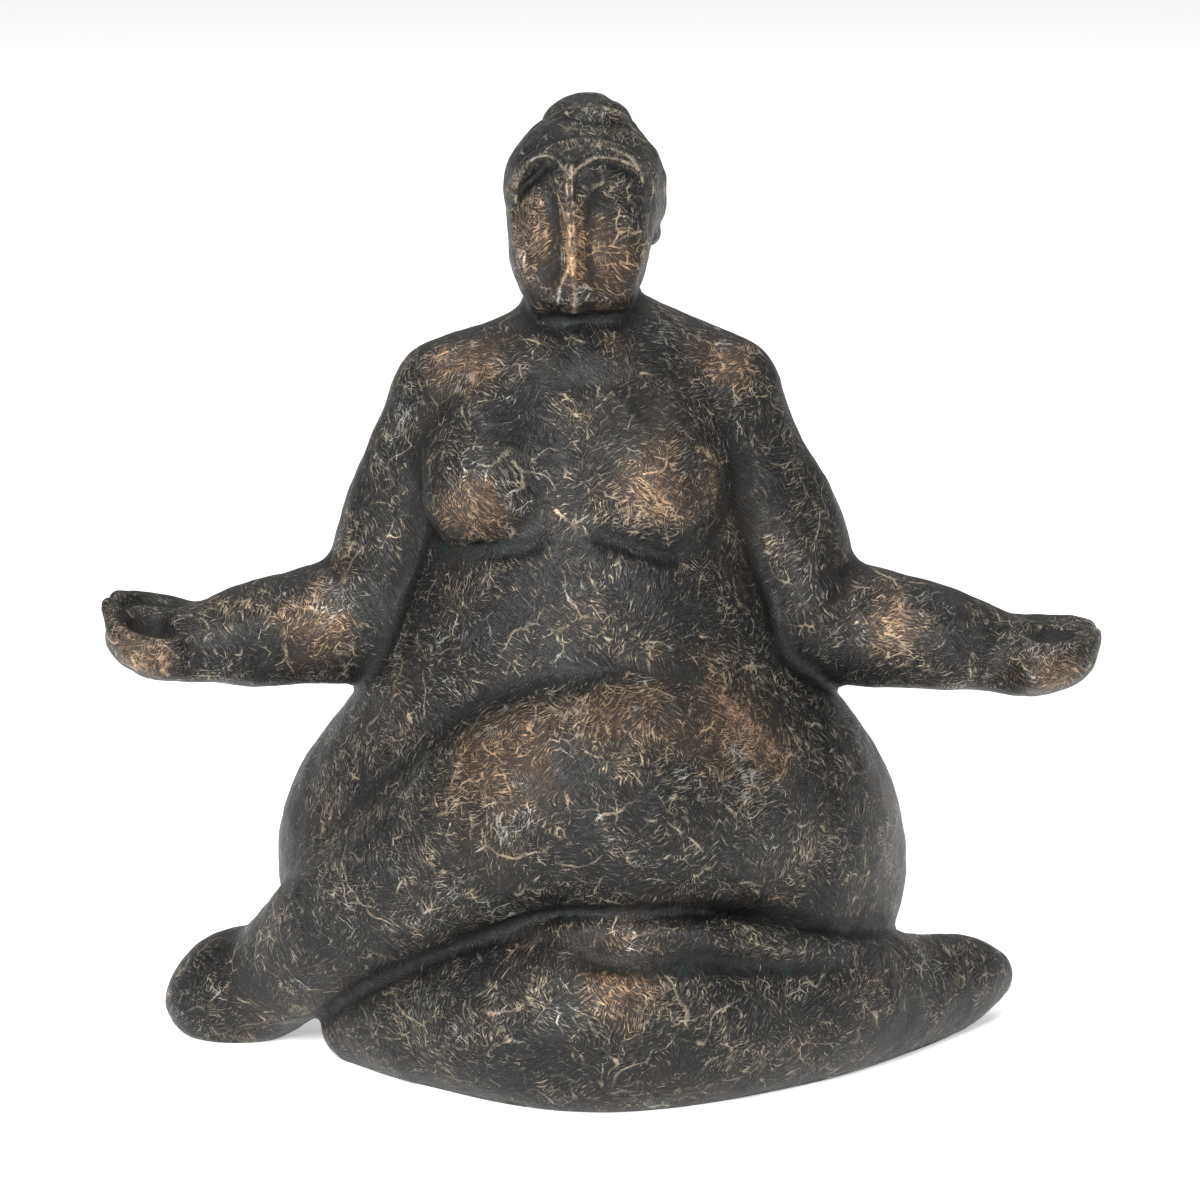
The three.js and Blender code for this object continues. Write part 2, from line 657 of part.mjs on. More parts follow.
// Sets the middle of the footprint on the origin, with the underside at height nil
function standAtOrigin(geometry) {
  geometry.computeBoundingBox();
  const { min, max } = geometry.boundingBox;
  return geometry.translate(-(min.x + max.x) / 2, -(min.y + max.y) / 2, -min.z);
}

function makeWoman() {
  const { points, squares } = laySkin(makeFigure());
  const skin = toSolid(points.flat(), splitSquares(points, squares).flat());
  const ground = boxSolid([LOW[0], LOW[1], LOW[2] - GROUND_DEPTH], [HIGH[0], HIGH[1], FLOOR]);
  const { vertProperties, triVerts } = skin.subtract(ground).getMesh();
  const corners = threes(vertProperties);
  return standAtOrigin(toGeometry(corners, thin(corners, threes(triVerts), SKIN_FACES)));
}

// Dark bronze-brown patina
const patina = new THREE.MeshStandardMaterial({ color: 0x3b3833, roughness: 0.5, metalness: 0.55 });
patina.name = 'patinated_bronze_finish';

const woman = new THREE.Mesh(makeWoman(), patina);
woman.name = 'seated_woman';

const sculpture = new THREE.Group();
sculpture.add(woman);

export default sculpture;
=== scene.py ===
# Seated woman in meditation: the finished skin of a cast figure, in a dark patina rubbed back to bronze.
# The form is described in millimetres, as the figure's own distances, and set into the frame's box.
import math
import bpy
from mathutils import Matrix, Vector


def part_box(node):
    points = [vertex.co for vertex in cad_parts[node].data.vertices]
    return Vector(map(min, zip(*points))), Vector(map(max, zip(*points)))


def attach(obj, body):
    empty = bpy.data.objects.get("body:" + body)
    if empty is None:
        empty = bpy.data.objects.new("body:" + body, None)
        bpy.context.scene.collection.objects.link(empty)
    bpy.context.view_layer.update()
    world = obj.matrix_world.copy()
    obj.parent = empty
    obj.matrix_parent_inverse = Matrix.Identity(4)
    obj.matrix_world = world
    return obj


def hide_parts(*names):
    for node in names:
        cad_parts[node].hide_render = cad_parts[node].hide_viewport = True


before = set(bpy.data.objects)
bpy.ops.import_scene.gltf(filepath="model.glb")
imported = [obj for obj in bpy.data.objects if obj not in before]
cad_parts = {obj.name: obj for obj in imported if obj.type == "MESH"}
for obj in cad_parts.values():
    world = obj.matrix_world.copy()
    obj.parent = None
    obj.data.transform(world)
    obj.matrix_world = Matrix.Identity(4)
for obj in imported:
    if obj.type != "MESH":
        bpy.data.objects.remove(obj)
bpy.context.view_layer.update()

from concurrent.futures import ThreadPoolExecutor

import bmesh
import bpy
import numpy as np
from mathutils import Matrix, Vector, noise

# Driving sizes, in millimetres
FIGURE_HEIGHT = 384.8
SPACE_LOW = (-208.0, -122.0)  # corners of the space that holds the figure, in plan
SPACE_HIGH = (208.0, 132.0)
SPACE_TOP = 392.0
GRID_STEP = 2.75  # spacing of the grid that the skin is laid on
BLOCK = 4  # grid steps across a block that is passed over where the skin is far off
FAR_BLOCKS = 1.9  # how many blocks away counts as far off

# Each rounded mass has a centre, three half-widths and, where it leans, turns about X, Y and Z.
HIPS = ((-3.2, 16, 74), (128.2, 94, 98))
BUTTOCKS = (((-58, 58, 62), (68, 60, 70)), ((50, 58, 62), (68, 60, 70)))
BELLY = ((-6, -8, 158), (76, 60, 74))
WAIST = ((-5, 6, 208), (59, 50, 60))
CHEST = ((-6, 4, 240), (62, 44, 48))
SHOULDER_BLADES = (
    ((-36, 34, 238), (22, 15, 32), (14, 10, 0)),
    ((26, 34, 238), (22, 15, 32), (14, -10, 0)),
)
SKULL = ((-6.5, 2, 347), (31, 34, 33))
JAW = ((-8, -12, 331), (27.5, 30, 37))
HAIR_CAP = ((-6.5, 7, 348.5), (31.5, 33, 30))
HAIR_ROLL = ((9, 11, 345), (16, 19, 23))
HAIR_LUMPS = (
    ((12.5, 2, 368), (7, 8, 4), (0, 35, 0)), ((18, 6, 360.5), (5, 9, 5), (0, 60, 0)),
    ((20.5, 8, 351), (4.5, 9, 5.5)), ((21.5, 9, 341), (4, 9, 5.5)), ((19, 9, 331), (4.5, 8, 5.5), (0, -20, 0)),
)
BUN = ((-5, 17, 370), (18.5, 16, 15))
ELBOW_FOLD = ((82, -14, 179), (12, 9, 15), (0, 15, 0))
LEFT_FOOT = ((-147.5, 12, 17.5), (31.5, 22, 21.8), (0, -14, 0))
HANDS = (
    {
        "body": ((-175.5, -12, 168.8), (22, 18, 14), (0, 17, 0)),
        "palm": ((-175, -22, 184), (16, 10, 12), (37, 8, 0)),
        "near": ((-195, -10, 183, 4), (-191, -19, 178.5, 4.5), (-186, -25, 173, 5), (-180, -27, 167.5, 5)),
        "far": ((-192, -2, 184, 4.5), (-184, 3, 182, 5), (-174, 5, 179.5, 5.5), (-163, 3, 176, 6)),
        "wrist": ((-161, -4, 186), (-161, -22, 178), (-161, -28, 164), (-161, -20, 152)),
    },
    {
        "body": ((176.5, -12, 163), (22.5, 19, 14.5), (0, -13, 0)),
        "palm": ((180, -19, 182), (18, 11, 11), (27, -12, 0)),
        "near": ((196, -11, 171, 4), (189, -20, 170.5, 5), (181, -26, 166, 6), (172, -27, 160, 6)),
        "far": ((194, -2, 172, 5), (185, 3, 172, 5.5), (172, 4, 171, 6), (162, 2, 170, 7)),
        "wrist": ((159, -6, 182), (159, -23, 174), (159, -27, 162), (159, -20, 150)),
    },
)

# Each limb runs through rows of x, y, z and its radius there.
YOKE = ((-60, 6, 267, 21.5), (-38, 7, 275.5, 20), (-6, 8, 275, 20), (25, 7, 278, 20.5), (49, 6, 268.5, 21.8))
NECK = ((-7, 5, 322, 22), (-7, 8, 301, 22.3), (-5, 9, 287, 27), (-3, 10, 272, 36))
BREASTS = (
    ((-40, -14, 262, 12), (-46, -26, 245, 20), (-47, -32, 233, 22.5)),
    ((14, -14, 262, 12), (20, -26, 245, 21), (21, -32, 232, 24.5)),
)
BROW_BAND = (
    (-34, -10, 345, 2.5), (-30, -19, 357, 3.5), (-20, -25, 365, 4),
    (-2, -27, 367.5, 4), (12, -21, 362, 3.5), (19, -12, 349, 2.5),
)
BUN_COIL = ((-20, 8, 371, 2.5), (-15, -3, 375.5, 4), (-6, -8.5, 378, 4.5), (5, -6, 376.5, 4), (11, 4, 372, 3))
ARMS = (
    {
        "upper": ((-60, 5, 260, 23.5), (-70, 6, 236, 25), (-79, 8, 206, 27), (-84, 9, 182, 26)),
        "fore": ((-88, 7, 177, 27.5), (-118, 1, 173, 23.2), (-141, -5, 170.5, 20.2), (-159, -9, 168.5, 15)),
        "creases": (
            ((-106, -14, 201), (-96, -22, 192), (-88, -27, 186)),
            ((-103, -22, 188), (-97, -26, 180), (-90, -27, 174)),
        ),
    },
    {
        "upper": ((49, 5, 261, 23.5), (58, 6, 238, 25), (71, 8, 208, 28), (78, 9, 182, 27)),
        "fore": ((82, 7, 176, 27), (108, 2, 172.5, 24), (134, -4, 169.5, 20.8), (159, -9, 165, 15.3)),
        "creases": (((97, -16, 196), (91, -24, 184), (93, -27, 172), (100, -24, 160)),),
        "fold": ELBOW_FOLD,
    },
)
CROSSING_LEG = (
    (48, -10, 99, 60), (17, -45, 115.5, 55.5), (-18, -58, 118, 46), (-58, -50, 93, 36.5),
    (-102, -26, 57, 29), (-130, -2, 30, 23), (-147, 11, 21, 21),
)
FOLDED_LEG = (
    (-95, -20, 14, 17.5), (-60, -44, 26, 31), (0, -66, 35, 43), (70, -40, 31, 37),
    (121, 0, 20, 24.5), (147, 23, 18.5, 18.5), (160, 32, 18.5, 11.5),
)
CALF_FOLD = ((-40, -70, 66, 5), (4, -86, 71, 8), (58, -80, 66, 7.5), (100, -46, 51, 5), (118, -20, 38, 3))

# Each crease follows a line of points and is this wide and this deep.
SPINE = (((-5, 58, 272), (-5, 62, 225), (-4, 78, 176), (-4, 100, 140)), 15, 4.5)
CLEFT = (((-4, 106, 130), (-4, 122, 92), (-4, 126, 40), (-4, 110, 2)), 9, 9)
BUN_TWISTS = (
    (((-20, 6, 374), (-10, 0, 380), (2, 2, 381), (10, 10, 379), (14, 22, 373)), 3, 1.8),
    (((-16, 14, 383), (-6, 10, 386), (4, 14, 385), (9, 24, 381)), 3, 1.5),
)
UNDER_FOLD = (((-16, -94, 62), (14, -100, 62), (40, -96, 60), (70, -84, 58)), 5, 2.5)
UNDER_BUST = (
    (((-52, -42, 216), (-40, -48, 212.5), (-30, -51, 214.8), (-18, -52, 220)), 3.2, 2.0),
    (((-7, -53, 222), (12, -53, 216), (25, -50, 211), (36, -44, 213)), 3.2, 2.0),
)
COLLAR = (((-34, -22, 282), (-16, -30, 276), (2, -31, 275), (24, -25, 279)), 4, 1.4)
ELBOW_CREASE = (3, 1.6)
WRIST_CREASE = (4, 1.6)

# The two planes of the blank face meet in an upright edge, and the chin is cut off below.
FACE_EDGE = (-11, -35, 336)
FACE_NORMALS = ((-0.36, -1, 0.06), (0.22, -1, 0.06))
CHIN_EDGE = (-9.5, -33, 304.5)
CHIN_NORMALS = ((-0.24, -0.36, -0.88), (0.24, -0.36, -0.88))

# Seen from the front, each half of the face is scooped out: centre, half-widths, lean and depth.
FACE_SCOOPS = (((-23.3, 337), (10.8, 28), 6, 2.4), ((4, 335), (14.2, 28), -4, 1.6))

# Thin raised lines on the face, seen from the front: places, width and height.
RIDGE = (((-12.2, 362), (-11.6, 350), (-10.9, 338), (-10.4, 326), (-9.9, 304)), 3.2, 1.2)
FACE_LINES = (
    (((-13.3, 361), (-12.6, 350), (-11.7, 338), (-10.9, 326), (-10.2, 304)), 0.6, 0.8),
    (((-10.9, 361), (-10.5, 350), (-10.1, 338), (-9.8, 326), (-9.5, 304)), 0.6, 0.8),
    (((-10.8, 328), (-12.8, 321), (-15.6, 315), (-16.4, 308)), 0.6, 0.7),
    (((-12.4, 358.6), (-19.6, 364.5), (-26.5, 362.8), (-31.5, 354.5), (-33.0, 346)), 0.8, 0.6),
    (((-11.6, 357), (-5.8, 362.1), (0.8, 364.2), (8.5, 362.6), (15.1, 358.6)), 0.8, 0.6),
    (((-17, 364), (-12.0, 367.6), (-2.5, 368.9), (8.0, 366.4), (13.6, 361.5), (16.8, 354)), 0.8, 0.6),
)
LINE_BAND = 1.7  # the net is closest this near to a face line
LINE_WIDTH = 0.6  # of the rubbed edge along it
FRONT_DEPTH = -6.0  # face work lies in front of this

# The breasts part crisply below and melt into the chest above; the thigh parts from the belly
# and melts into the hip. Each has the two places that this goes on between, then the softness at each.
BUST_MELT = ((216, 250), 5, 20)
THIGH_MELT = ((50, 100), 6, 22)

# How softly forms flow into each other
FLOW = {
    "buttocks": 10, "hips": 24, "belly": 44, "waist": 34, "chest": 26, "yoke": 18, "blades": 16,
    "bust": 4, "neck": 18, "jaw": 6, "face edge": 2.5, "chin": 1.5, "under chin": 12,
    "hairline": 1.5,
    "roll": 5, "lumps": 2.5, "band": 2.5, "bun": 2, "coil": 1.5, "head": 5, "elbow": 6, "elbow fold": 8, "palm": 3.5, "lips": 2,
    "rims": 4, "wrist": 7, "arms": 6, "foot": 12, "fold": 5, "legs": 4,
}

# Distance helpers. Points are rows of x, y, z.
REACH = 40.0  # beyond this a form has no effect
BROAD = 60.0  # a mass wider than this is felt everywhere
LIMB_STEPS = 3  # straight pieces for each row, before the nearest point is made exact
LIMB_PASSES = 2
MOST_MOVE = 0.5
LEAST_SPEED = 0.4
MOST_SLACK = 3.0
CREASE_FADE = 0.2  # share of a crease over which each end fades out


def soft_min(a, b, k):
    h = np.maximum(k - np.abs(a - b), 0.0) / k
    return np.minimum(a, b) - h * h * k * 0.25


def soft_max(a, b, k):
    return -soft_min(-a, -b, k)


def ramp(value, low, high):
    t = np.clip((value - low) / (high - low), 0.0, 1.0)
    return t * t * (3.0 - 2.0 * t)


def melt(value, between, crisp, soft):
    return crisp + (soft - crisp) * ramp(value, *between)


def length(rows):
    return np.sqrt(np.einsum("ij,ij->i", rows, rows))


def turn(rx, ry, rz):
    rotation = Matrix.Rotation(math.radians(rz), 3, "Z")
    rotation = rotation @ Matrix.Rotation(math.radians(ry), 3, "Y")
    return np.array(rotation @ Matrix.Rotation(math.radians(rx), 3, "X"), np.float32)


def mass(points, centre, radii, turns=None):
    """Distance to an ellipsoid, close to exact near its surface."""
    centre = np.asarray(centre, np.float32)
    radii = np.asarray(radii, np.float32)
    near = np.all(np.abs(points - centre) < max(radii) + REACH, axis=1)
    if max(radii) > BROAD:
        near[:] = True
    found = np.full(len(points), REACH, np.float32)
    q = points[near] - centre
    if turns:
        q = q @ turn(*turns)
    q = q / radii
    size = length(q)
    found[near] = size * (size - 1.0) / (length(q / radii) + 1e-6)
    return found


def limb(points, rows):
    """Distance to a round limb: a ball whose centre and radius follow a smooth curve through the rows."""
    rows = np.asarray(rows, float)
    found = np.full(len(points), REACH, np.float32)
    low = (rows[:, :3] - rows[:, 3:]).min(0) - REACH
    high = (rows[:, :3] + rows[:, 3:]).max(0) + REACH
    near = np.all((points > low) & (points < high), axis=1)
    q = points[near]
    if not len(q):
        return found
    knots = np.concatenate([[2 * rows[0] - rows[1]], rows, [2 * rows[-1] - rows[-2]]])
    a, b, c, d = knots[:-3], knots[1:-2], knots[2:-1], knots[3:]
    spans = np.stack([b, (c - a) / 2, a - 2.5 * b + 2 * c - d / 2, (d - a) / 2 + 1.5 * (b - c)], 1)
    spans = spans.astype(np.float32)

    def curve(u):
        n = np.minimum(u.astype(int), len(spans) - 1)
        t = (u - n)[:, None]
        m = spans[n]
        value = m[:, 0] + t * (m[:, 1] + t * (m[:, 2] + t * m[:, 3]))
        slope = m[:, 1] + t * (2 * m[:, 2] + 3 * t * m[:, 3])
        bend = 2 * m[:, 2] + 6 * t * m[:, 3]
        return value, slope, bend

    beads = curve(np.arange(len(spans) * LIMB_STEPS + 1) / LIMB_STEPS)[0].astype(np.float32)
    best = np.full(len(q), np.inf, np.float32)
    u = np.zeros(len(q), np.float32)
    for n, (start, stop) in enumerate(zip(beads[:-1], beads[1:])):
        step = stop - start
        w = q - start[:3]
        t = np.clip(w @ step[:3] / (step[:3] @ step[:3]), 0, 1)
        w -= t[:, None] * step[:3]
        gap = length(w) - (start[3] + t * step[3])
        closer = gap < best
        best[closer] = gap[closer]
        u[closer] = ((n + t) / LIMB_STEPS)[closer]
    for _ in range(LIMB_PASSES):
        value, slope, bend = curve(u)
        w = q - value[:, :3]
        speed = np.einsum("ij,ij->i", slope[:, :3], slope[:, :3])
        turning = np.einsum("ij,ij->i", w, bend[:, :3])
        drift = np.einsum("ij,ij->i", w, slope[:, :3]) + slope[:, 3] * length(w)
        move = np.clip(drift / np.maximum(speed - turning, LEAST_SPEED * speed), -MOST_MOVE, MOST_MOVE)
        u = np.clip(u + move, 0, len(spans)).astype(np.float32)
    value = curve(u)[0]
    exact = length(q - value[:, :3]) - value[:, 3]
    found[near] = np.minimum(np.minimum(exact, best + MOST_SLACK), REACH)
    return found


def along_line(points, line):
    """Distance to a line of points and the share of the way along it."""
    line = np.asarray(line, np.float32)
    steps = np.diff(line, axis=0)
    sizes = length(steps)
    starts = np.concatenate([[0], np.cumsum(sizes)])
    best = np.full(len(points), np.inf, np.float32)
    place = np.zeros(len(points), np.float32)
    for start, step, size, passed in zip(line, steps, sizes, starts):
        w = points - start
        t = np.clip(w @ step / size**2, 0, 1)
        gap = length(w - t[:, None] * step)
        closer = gap < best
        best[closer] = gap[closer]
        place[closer] = ((passed + t * size) / starts[-1])[closer]
    return best, place


def crease(points, line, width, depth):
    """Depth of a soft crease along a line of points, fading out at both ends."""
    line = np.asarray(line, np.float32)
    reach = 3 * width
    near = np.all((points > line.min(0) - reach) & (points < line.max(0) + reach), axis=1)
    sunk = np.zeros(len(points), np.float32)
    gap, place = along_line(points[near], line)
    fade = ramp(np.minimum(place, 1 - place), 0, CREASE_FADE)
    sunk[near] = depth * fade * np.exp(-((gap / width) ** 2))
    return sunk


def scoop(points, centre, halves, lean, depth):
    """Depth of a hollow with a firm rim, as seen from the front."""
    away = points[:, (0, 2)] - np.asarray(centre, np.float32)
    c, s = math.cos(math.radians(lean)), math.sin(math.radians(lean))
    across = (away[:, 0] * c + away[:, 1] * s) / halves[0]
    upward = (away[:, 1] * c - away[:, 0] * s) / halves[1]
    reach = across**2 + upward**2
    return depth * ramp(1.0 - reach, 0.0, 0.6) * (points[:, 1] < FRONT_DEPTH)


def flowing(line, steps=5):
    """A smooth curve through the points of a line, as a finer line."""
    line = np.asarray(line, np.float32)
    knots = np.concatenate([[2 * line[0] - line[1]], line, [2 * line[-1] - line[-2]]])
    a, b, c, d = (knots[n:len(knots) - 3 + n, None] for n in range(4))
    t = (np.arange(steps) / steps)[None, :, None]
    spans = b + t * ((c - a) / 2 + t * (a - 2.5 * b + 2 * c - d / 2 + t * ((d - a) / 2 + 1.5 * (b - c))))
    return np.concatenate([spans.reshape(-1, line.shape[1]), line[-1:]]).astype(np.float32)


def raised(points, line, width, height):
    """Height of a thin line in relief, as seen from the front."""
    front = points[:, (0, 2)]
    line = flowing(line)
    reach = 3 * width
    near = np.all((front > line.min(0) - reach) & (front < line.max(0) + reach), axis=1)
    near &= points[:, 1] < FRONT_DEPTH
    lifted = np.zeros(len(points), np.float32)
    lifted[near] = height * np.exp(-((along_line(front[near], line)[0] / width) ** 2))
    return lifted


def facet(points, point, direction):
    normal = np.asarray(direction, np.float32)
    normal = normal / np.linalg.norm(normal)
    return (points - np.asarray(point, np.float32)) @ normal


# Body parts
def torso(p):
    seat = soft_min(mass(p, *BUTTOCKS[0]), mass(p, *BUTTOCKS[1]), FLOW["buttocks"])
    d = soft_min(mass(p, *HIPS), seat, FLOW["hips"])
    d = soft_min(d, mass(p, *BELLY), FLOW["belly"])
    d = soft_min(d, mass(p, *WAIST), FLOW["waist"])
    d = soft_min(d, mass(p, *CHEST), FLOW["chest"])
    d = soft_min(d, limb(p, YOKE), FLOW["yoke"])
    d = soft_min(d, np.minimum(mass(p, *SHOULDER_BLADES[0]), mass(p, *SHOULDER_BLADES[1])), FLOW["blades"])
    d += crease(p, *SPINE) + crease(p, *CLEFT) + crease(p, *COLLAR)
    bust = soft_min(limb(p, BREASTS[0]), limb(p, BREASTS[1]), FLOW["bust"])
    d = soft_min(d, bust, melt(p[:, 2], *BUST_MELT))
    return d + crease(p, *UNDER_BUST[0]) + crease(p, *UNDER_BUST[1])


def bare_head(p):
    d = soft_min(mass(p, *SKULL), mass(p, *JAW), FLOW["jaw"])
    for normal in FACE_NORMALS:
        d = soft_max(d, facet(p, FACE_EDGE, normal), FLOW["face edge"])
    under = soft_max(*(facet(p, CHIN_EDGE, normal) for normal in CHIN_NORMALS), FLOW["under chin"])
    d = soft_max(d, under, FLOW["chin"])
    return d + scoop(p, *FACE_SCOOPS[0]) + scoop(p, *FACE_SCOOPS[1])


def hair(p):
    d = soft_min(mass(p, *HAIR_CAP), mass(p, *HAIR_ROLL), FLOW["roll"])
    for lump in HAIR_LUMPS:
        d = soft_min(d, mass(p, *lump), FLOW["lumps"])
    return d


def bun(p):
    knot = mass(p, *BUN) + crease(p, *BUN_TWISTS[0]) + crease(p, *BUN_TWISTS[1])
    return soft_min(knot, limb(p, BUN_COIL), FLOW["coil"])


def head(p):
    d = soft_min(bare_head(p), hair(p), FLOW["hairline"])
    d = soft_min(d, limb(p, BROW_BAND), FLOW["band"])
    for line in (RIDGE, *FACE_LINES):
        d -= raised(p, *line)
    return soft_min(d, bun(p), FLOW["bun"])


def hand(p, form):
    lips = soft_min(limb(p, form["near"]), limb(p, form["far"]), FLOW["lips"])
    cupped = soft_min(mass(p, *form["body"]), lips, FLOW["rims"])
    return soft_max(cupped, -mass(p, *form["palm"]), FLOW["palm"]) + crease(p, form["wrist"], *WRIST_CREASE)


def arm(p, form, hand_form):
    d = soft_min(limb(p, form["upper"]), limb(p, form["fore"]), FLOW["elbow"])
    if "fold" in form:
        d = soft_min(d, mass(p, *form["fold"]), FLOW["elbow fold"])
    for line in form["creases"]:
        d += crease(p, line, *ELBOW_CREASE)
    return soft_min(d, hand(p, hand_form), FLOW["wrist"])


def figure(p):
    d = soft_min(torso(p), limb(p, NECK), FLOW["neck"])
    d = soft_min(d, head(p), FLOW["head"])
    crossing = soft_min(limb(p, CROSSING_LEG), mass(p, *LEFT_FOOT), FLOW["foot"])
    d = soft_min(d, crossing, melt(p[:, 0], *THIGH_MELT))
    folded = soft_min(limb(p, FOLDED_LEG), limb(p, CALF_FOLD), FLOW["fold"]) + crease(p, *UNDER_FOLD)
    d = soft_min(d, folded, FLOW["legs"])
    for form, hand_form in zip(ARMS, HANDS):
        d = soft_min(d, arm(p, form, hand_form), FLOW["arms"])
    return d


CHUNK = 16000  # points worked out at a time


def distances(points, form=figure):
    """The form's distance at every point, worked out in parallel."""
    points = points.astype(np.float32)
    chunks = [points[n:n + CHUNK] for n in range(0, len(points), CHUNK)]
    with ThreadPoolExecutor(4) as pool:
        return np.concatenate(list(pool.map(form, chunks)))


# Skin
def sample_space():
    """Distances on a grid, worked out only near the skin and cut off flat at height nil."""
    low = np.array([*SPACE_LOW, -1.5 * GRID_STEP])
    blocks = np.ceil((np.array([*SPACE_HIGH, SPACE_TOP]) - low) / (GRID_STEP * BLOCK)).astype(int)
    count = blocks * BLOCK + 1
    coarse_at = np.stack(np.meshgrid(*[np.arange(n + 1) for n in blocks], indexing="ij"), -1)
    coarse = distances((low + coarse_at.reshape(-1, 3) * GRID_STEP * BLOCK)).reshape(blocks + 1)
    near = np.abs(coarse) < FAR_BLOCKS * BLOCK * GRID_STEP
    wanted = np.zeros(blocks, bool)
    for i, j, k in np.ndindex(2, 2, 2):
        wanted |= near[i:blocks[0] + i, j:blocks[1] + j, k:blocks[2] + k]
    values = np.where(coarse < 0, -REACH, REACH)
    for axis in range(3):
        values = np.repeat(values, BLOCK, axis)
        wanted = np.repeat(wanted, BLOCK, axis)
    values = values[:count[0], :count[1], :count[2]].astype(np.float32)
    worked = np.zeros(values.shape, bool)
    for i, j, k in np.ndindex(2, 2, 2):
        worked[i:wanted.shape[0] + i, j:wanted.shape[1] + j, k:wanted.shape[2] + k] |= wanted
    places = np.argwhere(worked)
    values[worked] = distances(low + places * GRID_STEP)
    heights = low[2] + np.arange(count[2]) * GRID_STEP
    return low, np.maximum(values, -heights[None, None, :].astype(np.float32))


def lay_skin(low, values):
    """Closed net of squares around all points where the value is below nil, one point for each crossed cell."""
    inside = values < 0
    cells_across = np.array(values.shape) - 1
    corners_in = np.zeros(cells_across, np.int8)
    for i, j, k in np.ndindex(2, 2, 2):
        corners_in += inside[i:cells_across[0] + i, j:cells_across[1] + j, k:cells_across[2] + k]
    crossed = (corners_in > 0) & (corners_in < 8)
    cells = np.argwhere(crossed)
    number = np.full(crossed.shape, -1)
    number[crossed] = np.arange(len(cells))
    total = np.zeros((len(cells), 3))
    count = np.zeros(len(cells))
    for axis in range(3):
        for u, v in np.ndindex(2, 2):
            start = cells.copy()
            start[:, (axis + 1) % 3] += u
            start[:, (axis + 2) % 3] += v
            stop = start.copy()
            stop[:, axis] += 1
            a, b = values[tuple(start.T)], values[tuple(stop.T)]
            crossing = (a < 0) != (b < 0)
            share = np.where(crossing, a / np.where(crossing, a - b, 1), 0)
            place = start.astype(float)
            place[:, axis] += share
            total += place * crossing[:, None]
            count += crossing
    points = low + total / count[:, None] * GRID_STEP
    squares = []
    for axis in range(3):
        u, v = (axis + 1) % 3, (axis + 2) % 3
        here = np.moveaxis(inside, axis, 0)
        start = np.argwhere(here[:-1] != here[1:]).T
        edge = np.empty((start.shape[1], 3), int)
        edge[:, axis] = start[0]
        edge[:, [n for n in range(3) if n != axis]] = start[1:].T
        ring = []
        for du, dv in ((0, 0), (-1, 0), (-1, -1), (0, -1)):
            cell = edge.copy()
            cell[:, u] += du
            cell[:, v] += dv
            ring.append(number[tuple(cell.T)])
        ring = np.stack(ring, 1)
        outward = inside[tuple(edge.T)]
        squares.append(np.where(outward[:, None], ring, ring[:, ::-1]))
    return points, np.concatenate(squares)


SLOPE_STEP = 0.35
CORNERS = np.array([(1, -1, -1), (-1, 1, -1), (-1, -1, 1), (1, 1, 1)], np.float32)  # of a small tetrahedron


def value_and_slope(points, form=figure):
    """The form's distance at every point and the direction in which it grows."""
    samples = [distances(points + SLOPE_STEP * corner, form) for corner in CORNERS]
    slope = sum(sample[:, None] * corner for sample, corner in zip(samples, CORNERS)) / (4 * SLOPE_STEP)
    return sum(samples) / 4, slope


SOLE_BAND = 0.3 * GRID_STEP  # points lower than this lie on the sole


def settle(points, steps=2):
    """Moves points onto the skin; points of the sole stay at height nil."""
    sole = points[:, 2] < SOLE_BAND
    points[sole, 2] = 0.0
    for _ in range(steps):
        value, slope = value_and_slope(points)
        move = -value[:, None] * slope / np.maximum(np.einsum("ij,ij->i", slope, slope), 0.05)[:, None]
        flat = np.maximum(np.einsum("ij,ij->i", slope[:, :2], slope[:, :2]), 0.05)
        rim = -value[:, None] * slope * (1.0, 1.0, 0.0) / flat[:, None]
        rim[value < -GRID_STEP] = 0.0
        move = np.where(sole[:, None], rim, move)
        size = length(move)
        points = points + move * np.minimum(1.0, GRID_STEP / np.maximum(size, 1e-6))[:, None]
        points[~sole, 2] = np.maximum(points[~sole, 2], 0.0)
    return points


def points_of(mesh):
    found = np.empty(len(mesh.vertices) * 3)
    mesh.vertices.foreach_get("co", found)
    return found.reshape(-1, 3)


def split_edges(mesh, chosen):
    """Halves every edge between chosen points."""
    form = bmesh.new()
    form.from_mesh(mesh)
    edges = [edge for edge in form.edges if chosen[edge.verts[0].index] and chosen[edge.verts[1].index]]
    bmesh.ops.subdivide_edges(form, edges=edges, cuts=1, use_grid_fill=True)
    form.to_mesh(mesh)
    form.free()


# Where the skin gets a closer net
HEAD_FROM = 303.0
HANDS_FROM = 158.0
HANDS_ABOVE = 140.0
FACE_SIDES = (-34.0, 20.0)
FACE_FRONT = -14.0


def head_and_hands(points):
    hands = (np.abs(points[:, 0]) > HANDS_FROM) & (points[:, 2] > HANDS_ABOVE)
    return hands | (points[:, 2] > HEAD_FROM)


def face_and_bun(points):
    across = (points[:, 0] > FACE_SIDES[0]) & (points[:, 0] < FACE_SIDES[1])
    front = across & (points[:, 1] < FACE_FRONT) & (points[:, 2] > HEAD_FROM)
    return front | (points[:, 2] > BUN[0][2])


def line_gap(points):
    """How far each point lies from the nearest face line, seen from the front."""
    gaps = [along_line(points[:, (0, 2)].astype(np.float32), flowing(line[0]))[0] for line in FACE_LINES]
    return np.where(points[:, 1] < FRONT_DEPTH, np.min(gaps, axis=0), REACH)


def by_face_lines(points):
    return line_gap(points) < LINE_BAND


